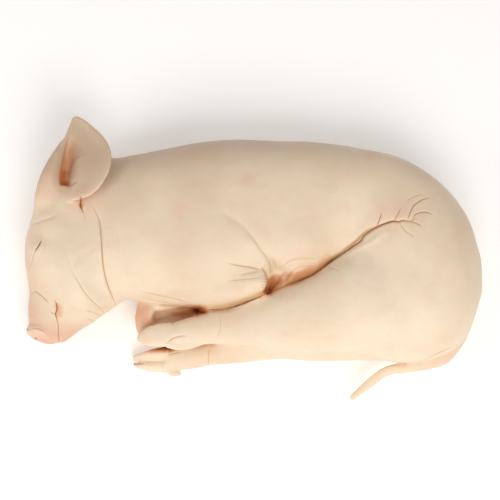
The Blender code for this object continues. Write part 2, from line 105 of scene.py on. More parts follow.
def soft_tube(name, ribs, start, end, roundness=2.3):
    """A closed tube over ribs, domed by the lengths start and end.

    A rib is a cross-section: its outer and inner edge as seen from above, the height of its
    middle and half its height. It is an oval where the roundness is 2, and fuller above that.
    """
    rows = [(*outer, *inner, height, half) for outer, inner, height, half in ribs]
    rows = smooth_rows(rows, RIB_STEPS)
    rows = [*reversed(domed(rows[0], rows[1], start)), *rows, *domed(rows[-1], rows[-2], end)]
    mesh = bmesh.new()
    rings = []
    for outer_x, outer_y, inner_x, inner_y, height, half in rows:
        ring = bmesh.ops.create_circle(mesh, segments=RIB_POINTS, radius=1)["verts"]
        for vert in ring:
            vert.co.x = math.copysign(abs(vert.co.x) ** (2 / roundness), vert.co.x)
            vert.co.y = math.copysign(abs(vert.co.y) ** (2 / roundness), vert.co.y)
        place = Matrix((
            ((outer_x - inner_x) / 2, 0, 0, (outer_x + inner_x) / 2),
            ((outer_y - inner_y) / 2, 0, 0, (outer_y + inner_y) / 2),
            (0, half, 0, height),
            (0, 0, 0, 1),
        ))
        bmesh.ops.transform(mesh, matrix=place, verts=ring)
        rings.append(list(dict.fromkeys(edge for vert in ring for edge in vert.link_edges)))
    for near, far in zip(rings, rings[1:]):
        bmesh.ops.bridge_loops(mesh, edges=near + far)
    bmesh.ops.holes_fill(mesh, edges=rings[0] + rings[-1])
    bmesh.ops.recalc_face_normals(mesh, faces=mesh.faces)
    return linked(name, mesh)


trunk = soft_tube("trunk", (
    ((-152, 112), (-150, -46), 46, 43),
    ((-125, 116), (-122, -46), 48, 50),
    ((-92, 122), (-92, -47), 51, 54),
    ((-55, 129), (-58, -46), 52, 58),
    ((-15, 131), (-22, -46), 53, 58),
    ((22, 130), (16, -40), 53, 58),
    ((60, 129), (48, -36), 52, 57),
    ((100, 125), (85, -20), 51, 55),
    ((138, 117), (120, 0), 50, 53),
    ((172, 103), (150, 10), 49, 47),
), 30, 30)
rump = soft_tube("rump", (
    ((85, 100), (85, -85), 50, 30),
    ((115, 118), (115, -104), 53, 47),
    ((145, 115), (145, -114), 55, 58),
    ((172, 104), (172, -117), 56, 60),
    ((198, 86), (198, -112), 56, 60),
    ((220, 64), (220, -101), 55, 55),
    ((237, 37), (237, -78), 54, 44),
    ((246, 8), (246, -52), 54, 27),
), 8, 4, roundness=2.9)
upper_leg = soft_tube("upper_leg", (
    ((224, -60), (172, 58), 60, 34),
    ((192, -107), (137, 28), 71, 39),
    ((150, -117), (108, 4), 76, 38),
    ((116, -108), (88, -8), 75, 37),
    ((78, -106), (62, -24), 72, 33),
    ((45, -105), (38, -36), 68, 28),
    ((10, -100), (12, -44), 63, 23),
    ((-20, -97), (-18, -56), 58, 18.5),
    ((-50, -97), (-48, -62), 54, 16),
    ((-76, -98), (-72, -67), 52, 14.5),
    ((-94, -97), (-92, -73), 50, 12),
), 20, 4)
lower_leg = soft_tube("lower_leg", (
    ((200, -60), (150, 30), 34, 32),
    ((180, -106), (128, 5), 34, 36),
    ((146, -112), (100, -10), 32, 35),
    ((106, -112), (76, -34), 29, 31),
    ((66, -112), (50, -60), 25, 27),
    ((32, -109), (25, -70), 21, 22),
    ((-8, -113), (-10, -82), 17, 17.5),
    ((-45, -116), (-42, -86), 15, 15.5),
    ((-72, -121), (-68, -90), 14, 14.5),
    ((-98, -122), (-92, -94), 13, 13.5),
), 20, 4)
groin = soft_tube("groin", (
    ((100, -10), (100, -100), 48, 42),
    ((60, -30), (60, -101), 44, 37),
    ((25, -42), (25, -97), 40, 31),
    ((-8, -48), (-8, -95), 36, 25),
    ((-36, -50), (-36, -92), 33, 19),
), 10, 10)
upper_foreleg = soft_tube("upper_foreleg", (
    ((-60, 60), (-20, -30), 74, 24),
    ((-20, 50), (12, -34), 78, 26),
    ((10, 6), (14, -44), 72, 28),
    ((-8, -10), (-12, -54), 66, 28),
    ((-50, -14), (-46, -56), 56, 24),
    ((-86, -22), (-80, -54), 46, 18),
    ((-118, -40), (-100, -58), 38, 13),
), 15, 10)
lower_foreleg = soft_tube("lower_foreleg", (
    ((-10, 20), (-14, -56), 30, 26),
    ((-52, -6), (-50, -66), 22, 20),
    ((-88, -20), (-86, -64), 17, 16),
    ((-112, -34), (-100, -62), 15, 14),
), 15, 10)


# ------------------------------------------------------------------------------------------
# Head and snout. The head bends down from the nape, so its ribs are swept round from there to
# the snout, each from the forehead edge to the jaw edge. The snout ends in a flat gristle disc
# that leans back a little.

SNOUT_CENTRE = Vector((-231, -80.5, 28))
SNOUT_FACING = Vector((-0.28, -0.91, 0.28))
SNOUT_RADIUS = 18

head = soft_tube("head", (
    ((-145, 112), (-140, -40), 46, 40),
    ((-172, 115), (-146, -52), 44, 40),
    ((-205, 111), (-152, -55), 43, 40),
    ((-229, 86), (-156, -58), 42, 42),
    ((-241, 55), (-164, -63), 41, 45),
    ((-250, 22), (-172, -69), 40, 45),
    ((-251, -6), (-182, -75), 37, 38),
    ((-246, -34), (-192, -80), 33, 29),
    ((-248, -52), (-198, -86), 30, 22),
    ((-248, -68), (-204, -90), 28, 16),
), 20, 10)

disc = bmesh.new()
bmesh.ops.create_cone(
    disc, cap_ends=True, segments=48, radius1=SNOUT_RADIUS, radius2=SNOUT_RADIUS, depth=12,
)
caps = [face for face in disc.faces if len(face.verts) > 4]
rims = [edge for face in caps for edge in face.edges]
bmesh.ops.bevel(disc, geom=rims, offset=3, segments=4, affect="EDGES", profile=0.5, material=-1)
turn = SNOUT_FACING.to_track_quat("Z", "Y").to_matrix()
bmesh.ops.rotate(disc, matrix=turn, verts=disc.verts)
bmesh.ops.translate(disc, vec=SNOUT_CENTRE, verts=disc.verts)
snout_disc = linked("snout_disc", disc)


# ------------------------------------------------------------------------------------------
# Ears. A piglet's ear is a thin cup of skin over gristle. The near one stands up from a thick
# front wall, and is open to the rear; the far one is pressed flat under the head.

EAR_THICKNESS = 4.5

ear_wall = soft_tube("ear_wall", (
    ((-238, 44), (-198, 44), 54, 20),
    ((-240, 62), (-204, 64), 56, 26),
    ((-235, 80), (-207, 81), 59, 33),
    ((-227, 96), (-206, 96), 64, 30),
    ((-218, 112), (-203, 110), 70, 21),
    ((-209, 126), (-200, 124), 76, 11),
), 14, 6, roundness=2.5)


def ball(name, centre, radii, turn=0):
    """An oval lump of flesh, turned about the vertical by so many degrees."""
    mesh = bmesh.new()
    bmesh.ops.create_uvsphere(mesh, u_segments=24, v_segments=16, radius=1)
    bmesh.ops.scale(mesh, vec=radii, verts=mesh.verts)
    bmesh.ops.rotate(mesh, matrix=Matrix.Rotation(math.radians(turn), 3, "Z"), verts=mesh.verts)
    bmesh.ops.translate(mesh, vec=centre, verts=mesh.verts)
    return linked(name, mesh)


ear_root = ball("ear_root", (-198, 54, 64), (28, 20, 21))
ear_underside = ball("ear_underside", (-186, 92, 54), (26, 30, 20))


def ear_leaf(name, rows):
    """A cupped leaf: a grid of skin over rows of points, given its thickness and softened."""
    mesh = bmesh.new()
    across, along = len(rows[0]), len(rows)
    bmesh.ops.create_grid(mesh, x_segments=across - 1, y_segments=along - 1, size=1)
    for vert, point in zip(mesh.verts, [point for row in rows for point in row]):
        vert.co = point
    bmesh.ops.recalc_face_normals(mesh, faces=mesh.faces)
    obj = linked(name, mesh)
    wall = obj.modifiers.new("thickness", "SOLIDIFY")
    wall.thickness = EAR_THICKNESS * MM
    wall.offset = 0
    soft = obj.modifiers.new("soften", "SUBSURF")
    soft.levels = 3
    soft.render_levels = 3
    return obj


# Each row runs from the front rim over the deep of the cup and the inner ridge to the rear rim.
upper_ear = ear_leaf("upper_ear", (
    ((-210, 58, 78), (-199, 54, 84), (-193, 54, 89), (-184, 56, 92), (-171, 61, 93)),
    ((-214, 70, 84), (-204, 75, 70), (-194, 74, 82), (-183, 72, 84), (-163, 69, 95)),
    ((-215, 83, 86), (-205, 86, 62), (-193, 88, 82), (-181, 83, 81), (-155, 78, 95)),
    ((-213, 97, 87), (-203, 100, 63), (-188, 100, 82), (-174, 96, 80), (-150, 94, 93)),
    ((-210, 112, 87), (-200, 115, 68), (-184, 111, 79), (-170, 111, 79), (-150, 111, 90)),
    ((-205, 128, 84), (-197, 130, 73), (-185, 127, 76), (-176, 126, 76), (-160, 129, 83)),
    ((-200, 143, 78), (-195, 144, 73), (-189, 143, 72), (-184, 143, 73), (-176, 143, 77)),
    ((-198, 154, 75), (-194, 155, 73), (-191, 155, 72), (-188, 153, 73), (-184, 150, 75)),
))
lower_ear = ear_leaf("lower_ear", (
    ((-204, 70, 22), (-196, 72, 16), (-186, 72, 14), (-174, 72, 16), (-162, 72, 22)),
    ((-206, 92, 13), (-197, 93, 6), (-186, 93, 5), (-172, 93, 6), (-158, 92, 13)),
    ((-203, 112, 9), (-196, 113, 4), (-186, 113, 3), (-174, 112, 4), (-161, 110, 9)),
    ((-198, 129, 6), (-193, 130, 3), (-186, 130, 2.5), (-178, 129, 3), (-170, 126, 6)),
    ((-193, 140, 4), (-190, 141, 3), (-187, 141, 2.5), (-184, 140, 3), (-181, 138, 4)),
))


# ------------------------------------------------------------------------------------------
# Feet. Each hind trotter has two claws that lie one over the other, and a dew claw behind them.
# The forefeet are bent back at the wrist, under the hind ones. Scalded claws are as pale and
# nearly as soft as the skin.

upper_forefoot = soft_tube("upper_forefoot", (
    ((-126, -48), (-104, -54), 35, 14),
    ((-129, -68), (-108, -64), 33, 14),
    ((-122, -86), (-104, -70), 29, 13),
    ((-92, -88), (-88, -62), 25, 12),
    ((-60, -88), (-58, -60), 24, 11),
), 8, 4)
lower_forefoot = soft_tube("lower_forefoot", (
    ((-118, -48), (-94, -54), 14, 13),
    ((-119, -66), (-96, -64), 13, 13),
    ((-108, -84), (-94, -66), 12, 12.5),
    ((-84, -88), (-82, -62), 11, 11.5),
    ((-56, -88), (-56, -64), 10, 10.5),
), 8, 4)
claws = [soft_tube(name, ribs, 3, 4) for name, ribs in {
    "upper_hind_outer_claw": (
        ((-88, -99), (-88, -72), 55, 8), ((-104, -99), (-103, -74), 54, 7.5),
        ((-115, -97.5), (-114, -77), 52, 6.5), ((-122, -94), (-121, -82), 50, 4.5),
    ),
    "upper_hind_inner_claw": (
        ((-84, -97), (-84, -73), 44, 8), ((-100, -97), (-100, -75), 42, 7.5),
        ((-111, -96), (-110, -78), 40, 6.5), ((-118, -92), (-117, -83), 39, 4.5),
    ),
    "lower_hind_outer_claw": (
        ((-94, -109), (-93, -94), 15, 10), ((-110, -109.5), (-109, -97), 13.5, 9),
        ((-123, -109), (-122, -101), 11.5, 7), ((-130, -107.5), (-129, -103.5), 10, 5),
    ),
    "lower_hind_inner_claw": (
        ((-94, -123), (-94, -109), 13, 10), ((-110, -123), (-110, -111), 11.5, 9),
        ((-123, -119), (-122, -111.5), 10.5, 7), ((-130, -116), (-129, -112), 10, 5),
    ),
    "upper_fore_outer_claw": (
        ((-62, -88), (-62, -60), 31, 7), ((-46, -87), (-46, -62), 30, 6.5),
        ((-34, -83), (-34, -68), 28, 5),
    ),
    "upper_fore_inner_claw": (
        ((-60, -87), (-60, -62), 22, 7), ((-43, -86), (-43, -64), 21, 6.5),
        ((-31, -82), (-31, -69), 21, 5),
    ),
    "lower_fore_outer_claw": (
        ((-58, -88), (-58, -64), 14, 6.5), ((-42, -87), (-42, -66), 13, 6),
        ((-30, -83), (-30, -70), 12, 4.5),
    ),
    "lower_fore_inner_claw": (
        ((-55, -87), (-55, -66), 6.5, 6), ((-39, -86), (-39, -68), 6, 5.5),
        ((-27, -82), (-27, -72), 6, 4.5),
    ),
}.items()]
claws.append(soft_tube("upper_hind_dew_claw", (
    ((-92, -100), (-90, -91), 50, 5),
    ((-82, -102.5), (-80, -91), 51, 6.5),
    ((-70, -102), (-68, -90), 52, 6.5),
    ((-54, -97), (-53, -88), 53, 6),
), 4, 4))
claws.append(ball("lower_hind_dew_claw", (-86, -124, 13), (8, 4, 4.5), -5))
claws.append(ball("wrist_web", (-100, -62, 20), (17, 13, 13), 10))
claws.append(ball("lower_hind_dew_claw_far", (-74, -94, 22), (12, 5, 5), 8))


# ------------------------------------------------------------------------------------------
# Tail. Thin and tapering, it leaves the rump over the anus and lies along the back of the ham.

tail = soft_tube("tail", (
    ((240, -76), (222, -92), 44, 14),
    ((231, -95), (214, -100), 38, 12),
    ((212, -116), (200, -104), 33, 9),
    ((178, -124), (176, -112), 30, 7),
    ((150, -128), (146, -118), 28, 5),
    ((132, -140), (125, -133), 26, 3.8),
    ((112, -154), (108, -149), 24, 2.6),
), 6, 3)


# ------------------------------------------------------------------------------------------
# One skin. The big masses are melted together coarsely, so that muscle runs into muscle. The
# ears, snout, feet and tail are added to that, and a fine melt makes one closed skin of all.

MASS_VOXEL = 4.5
SKIN_VOXEL = 1.35


def baked(obj, name):
    """A new object with the modifiers of obj applied; obj itself is removed."""
    graph = bpy.context.evaluated_depsgraph_get()
    data = bpy.data.meshes.new_from_object(obj.evaluated_get(graph))
    bpy.data.objects.remove(obj)
    data.name = name
    return placed(name, data)


def melted(name, blocks, voxel, smoothing):
    """The blocks as one closed skin: joined, remeshed in voxels and smoothed."""
    mesh = bmesh.new()
    for block in blocks:
        block = baked(block, block.name)
        mesh.from_mesh(block.data)
        bpy.data.objects.remove(block)
    bmesh.ops.scale(mesh, vec=(1 / MM, 1 / MM, 1 / MM), verts=mesh.verts)
    obj = linked(name, mesh)
    remesh = obj.modifiers.new("one skin", "REMESH")
    remesh.mode = "VOXEL"
    remesh.voxel_size = voxel * MM
    smooth = obj.modifiers.new("soften", "SMOOTH")
    smooth.factor = 0.5
    smooth.iterations = smoothing
    return baked(obj, name)


masses = melted("masses", [
    trunk, rump, head, upper_leg, lower_leg, groin, upper_foreleg, lower_foreleg,
    ear_wall, ear_root, ear_underside,
], MASS_VOXEL, smoothing=12)
even = masses.modifiers.new("even out", "SUBSURF")
even.levels = 1
even.render_levels = 1
pig_skin = melted("pig_skin", [
    masses, upper_forefoot, lower_forefoot, tail, upper_ear, lower_ear, snout_disc, *claws,
], SKIN_VOXEL, smoothing=6)


# ------------------------------------------------------------------------------------------
# Folds. Skin with little fat under it gathers where the body bends: along the flank, behind the
# ear and round the neck, at the elbow, jaw, eye and snout. Each fold is a line drawn as it is
# seen from over the belly side. The skin is pressed in along it, and rolls or dips beside it.

# The lines are drawn on a plane through FOCUS that faces EYE. The far side of the head, on the
# table, is drawn from EYE_BELOW.
EYE = np.array((-2.0, -252.0, 1527.0))
EYE_BELOW = np.array((-2.0, -252.0, -1427.0))
FOCUS = np.array((-2.0, 8.4, 50.0))


class Fold(NamedTuple):
    """A fold: its depth, half width and line, and how far the left side rolls over the right.

    A left side that rolls by less than nothing dips straight away from the eye. The stain and
    shade is how brown and dark the bottom is painted, partly its own brown and partly painted
    shade, and sharp is 2 where the bottom is round. A fold that goes through runs round the
    piece, and its line is then a plan line.
    """

    depth: float
    width: float
    line: tuple
    over: float = 0.0
    stain_and_shade: float = 0.4
    sharp: float = 1.0
    through: bool = False


def points_of(data):
    """The vertices of a mesh in millimetres."""
    flat = np.empty(len(data.vertices) * 3)
    data.vertices.foreach_get("co", flat)
    return flat.reshape(-1, 3) / MM


def normals_of(data):
    """The vertex normals of a mesh."""
    flat = np.empty(len(data.vertices) * 3)
    data.vertices.foreach_get("normal", flat)
    return flat.reshape(-1, 3)


def put_points(data, points):
    """Moves the vertices of a mesh to points in millimetres."""
    data.vertices.foreach_set("co", (points * MM).ravel())
    data.update()


def as_seen(points, eye):
    """Where points appear from eye, on the plane through FOCUS that faces it."""
    distance = np.linalg.norm(eye - FOCUS)
    back = (eye - FOCUS) / distance
    side = np.array((1.0, 0.0, 0.0))
    upward = np.cross(back, side)
    if upward[1] < 0:
        upward = -upward
    away = points - eye
    scale = -distance / (away @ back)
    across = (away @ side) * scale + FOCUS[0]
    along = (away @ upward) * scale + FOCUS[1] * upward[1]
    return np.column_stack((across, along))


def skin_tree(data):
    """A search tree over the faces of a mesh, in millimetres."""
    faces = [face.vertices[:] for face in data.polygons]
    return BVHTree.FromPolygons(points_of(data).tolist(), faces)


def unit(vectors):
    """Rows of numbers as directions."""
    return vectors / np.linalg.norm(vectors, axis=1)[:, None]


# Skin that faces the eye within about 66 degrees counts in full. Rays start off the skin.
FACING_GAIN = 2.5
RAY_START = 0.5


def shown_from(data, eye):
    """How far each point faces eye, from 0 to 1, and 0 where another part of the skin hides it."""
    points = points_of(data)
    towards = unit(eye - points)
    facing = np.clip(FACING_GAIN * np.sum(normals_of(data) * towards, axis=1), 0, 1)
    tree = skin_tree(data)
    for i in np.flatnonzero(facing):
        ray = Vector(towards[i])
        if tree.ray_cast(Vector(points[i]) + ray * RAY_START, ray)[0] is not None:
            facing[i] = 0
    return facing


def spread(data, values, rounds):
    """Values on the points of a mesh, each averaged with its neighbours so many times."""
    ends = np.empty(len(data.edges) * 2, int)
    data.edges.foreach_get("vertices", ends)
    near, far = ends[0::2], ends[1::2]
    count = np.bincount(ends, minlength=len(values)) + 1
    for _ in range(rounds):
        total = values + np.bincount(near, values[far], len(values))
        total += np.bincount(far, values[near], len(values))
        values = total / count
    return values


FAR_AWAY = 1e9
LINE_STEPS = 6


def beside_line(points, line):
    """Distance of each point to a smooth line, above 0 on its left, and the share of the line."""
    fine = np.array(smooth_rows(line, LINE_STEPS))
    steps = np.linalg.norm(np.diff(fine, axis=0), axis=1)
    reached = np.concatenate(((0.0,), np.cumsum(steps)))
    best = np.full(len(points), FAR_AWAY)
    share = np.zeros(len(points))
    for start, end, before, step in zip(fine, fine[1:], reached, steps):
        run = (end - start) / step
        along = np.clip((points - start) @ run, 0, step)
        off = points - start - along[:, None] * run
        gap = np.linalg.norm(off, axis=1)
        nearer = gap < np.abs(best)
        left = np.where(run[0] * off[:, 1] > run[1] * off[:, 0], 1, -1)
        best[nearer] = (gap * left)[nearer]
        share[nearer] = ((before + along) / reached[-1])[nearer]
    return best, share


# A fold takes hold of skin within so many half widths and millimetres of its line.
FOLD_REACH = 5
FOLD_MARGIN = 3


def fold_reach(points, fold, eye, shown):
    """The points near a fold, their distance to it, and how strongly it takes hold of them.

    The hold fades over the first and the last quarter of the fold.
    """
    drawn = points[:, :2] if fold.through else as_seen(points, eye)
    strength = np.ones(len(points)) if fold.through else shown
    reach = FOLD_REACH * fold.width + FOLD_MARGIN
    low = np.min(fold.line, axis=0) - reach
    high = np.max(fold.line, axis=0) + reach
    near = (strength > 0) & np.all((drawn > low) & (drawn < high), axis=1)
    gap, share = beside_line(drawn[near], fold.line)
    taper = np.clip(np.minimum(share, 1 - share) * 4, 0, 1) ** 0.6
    return near, gap, taper * strength[near]


# The sides of a fold, in its half widths: how broad the step from right to left is, how far the
# left side rolls, and where and how broad the lip on both sides is. The lip's height is a share
# of the depth.
STEP_BREADTH = 0.8
ROLL_REACH = 3
LIP_PLACE = 2.4
LIP_BREADTH = 1.4
LIP_HEIGHT = 0.08


def left_side(gap, fold):
    """How far points are on the left of a fold, from 0 to 1."""
    return np.clip(0.5 + gap / (STEP_BREADTH * fold.width), 0, 1)


def press_folds(data, folds, eye, shown):
    """Presses folds into the skin that shows from eye, and rolls or dips their left sides."""
    for fold in folds:
        points = points_of(data)
        near, gap, hold = fold_reach(points, fold, eye, shown)
        wide = np.abs(gap) / fold.width
        valley = np.exp(-wide ** fold.sharp)
        lip = LIP_HEIGHT * np.exp(-((wide - LIP_PLACE) / LIP_BREADTH) ** 2)
        roll = fold.over * left_side(gap, fold) * np.exp(-(wide / ROLL_REACH) ** 2)
        outward = normals_of(data)[near]
        points[near] += outward * (hold * fold.depth * (lip - valley))[:, None]
        if fold.over < 0:
            outward = unit(eye - points[near])
        points[near] += outward * (hold * roll)[:, None]
        put_points(data, points)


def swell_skin(data, swells, eye, shown):
    """Raises soft round swellings on the skin that shows from eye, or presses dents into it."""
    points = points_of(data)
    drawn = as_seen(points, eye)
    rise = np.zeros(len(points))
    for centre, radius, height in swells:
        gap = np.linalg.norm(drawn - centre, axis=1) / radius
        rise += height * np.clip(1 - gap ** 2, 0, 1) ** 2
    put_points(data, points + normals_of(data) * (rise * shown)[:, None])


HOLLOW_SOFTENING = 30


def press_hollows(data, hollows, eye, shown):
    """Presses soft hollows into the skin that shows from eye, straight away from it."""
    for outline, depth, slope in hollows:
        points = points_of(data)
        drawn = as_seen(points, eye)
        low, high = np.min(outline, axis=0), np.max(outline, axis=0)
        near = (shown > 0) & np.all((drawn > low) & (drawn < high), axis=1)
        inside, _ = beside_line(drawn[near], (*outline, outline[0]))
        share = np.zeros(len(points))
        share[near] = np.clip(inside / slope, 0, 1)
        share = spread(data, share ** 2 * (3 - 2 * share), HOLLOW_SOFTENING)
        put_points(data, points + unit(points - eye) * (depth * share)[:, None])


def fold_distance(points, folds, eye, shown):
    """Distance of each point to the nearest fold."""
    nearest = np.full(len(points), FAR_AWAY)
    for fold in folds:
        near, gap, _ = fold_reach(points, fold, eye, shown)
        nearest[near] = np.minimum(nearest[near], np.abs(gap))
    return nearest


def refine_near(obj, folds, eye, shown, within):
    """Halves the edges of the skin nearer than within to a fold."""
    nearest = fold_distance(points_of(obj.data), folds, eye, shown)
    mesh = bmesh.new()
    mesh.from_mesh(obj.data)
    edges = [
        edge for edge in mesh.edges if min(nearest[vert.index] for vert in edge.verts) < within
    ]
    bmesh.ops.subdivide_edges(mesh, edges=edges, cuts=1, use_grid_fill=True)
    mesh.to_mesh(obj.data)
    mesh.free()


# Soft swellings and dents as seen from EYE: each one's centre, radius and height.
SWELLS = (
    ((-180, -2), 46, 3), ((-236, 10), 16, 2.0), ((-222, 40), 22, 2.0), ((-222, -28), 24, -2.0),
    ((-60, 20), 62, 3), ((-4, -30), 24, 4.5), ((12, -27), 10, 2), ((24, -27), 11, -3),
    ((58, 14), 32, 3), ((-118, 10), 34, 2), ((30, 90), 60, 1.5), ((155, -48), 56, 3),
    ((116, 3), 13, 1.2),
)

# Hollows as seen from EYE: each one's outline, anticlockwise, its depth and the width of its
# slope. Where the depth is below nothing, the skin is raised.
HOLLOWS = (
    # The deep of the ear, along its front wall.
    ((
        (-206, 112), (-209, 100), (-210.8, 89), (-210, 79.5), (-204, 78), (-198, 80), (-194, 85),
        (-192, 93), (-193, 103), (-198, 113), (-203, 116),
    ), 3.6, 9),
    # The slot between the chest and the hind foot is filled by the wrist, so it is raised.
    ((
        (-116, -50), (-120, -58), (-119, -68), (-113, -76), (-105, -76), (-93.5, -71), (-78, -67),
        (-68, -62), (-66, -56), (-78, -52), (-93.5, -50), (-105, -49),
    ), -9, 8),
    # The recess behind the elbow.
    ((
        (12, -42.5), (20, -38.5), (31, -33.5), (44, -28.5), (50, -20), (42, -10), (31, -3),
        (25, 2), (19, 1), (15.5, -6), (14, -15), (16.5, -22), (17, -30), (15, -36),
    ), 9, 11),
    # The pocket above the flank's crease.
    ((
        (106, 10), (113, 13.5), (119.5, 18), (124.5, 25), (131, 30), (136, 34.5), (131, 34.5),
        (124, 30), (116.5, 24.5), (110, 18.5),
    ), 1.5, 4),
)

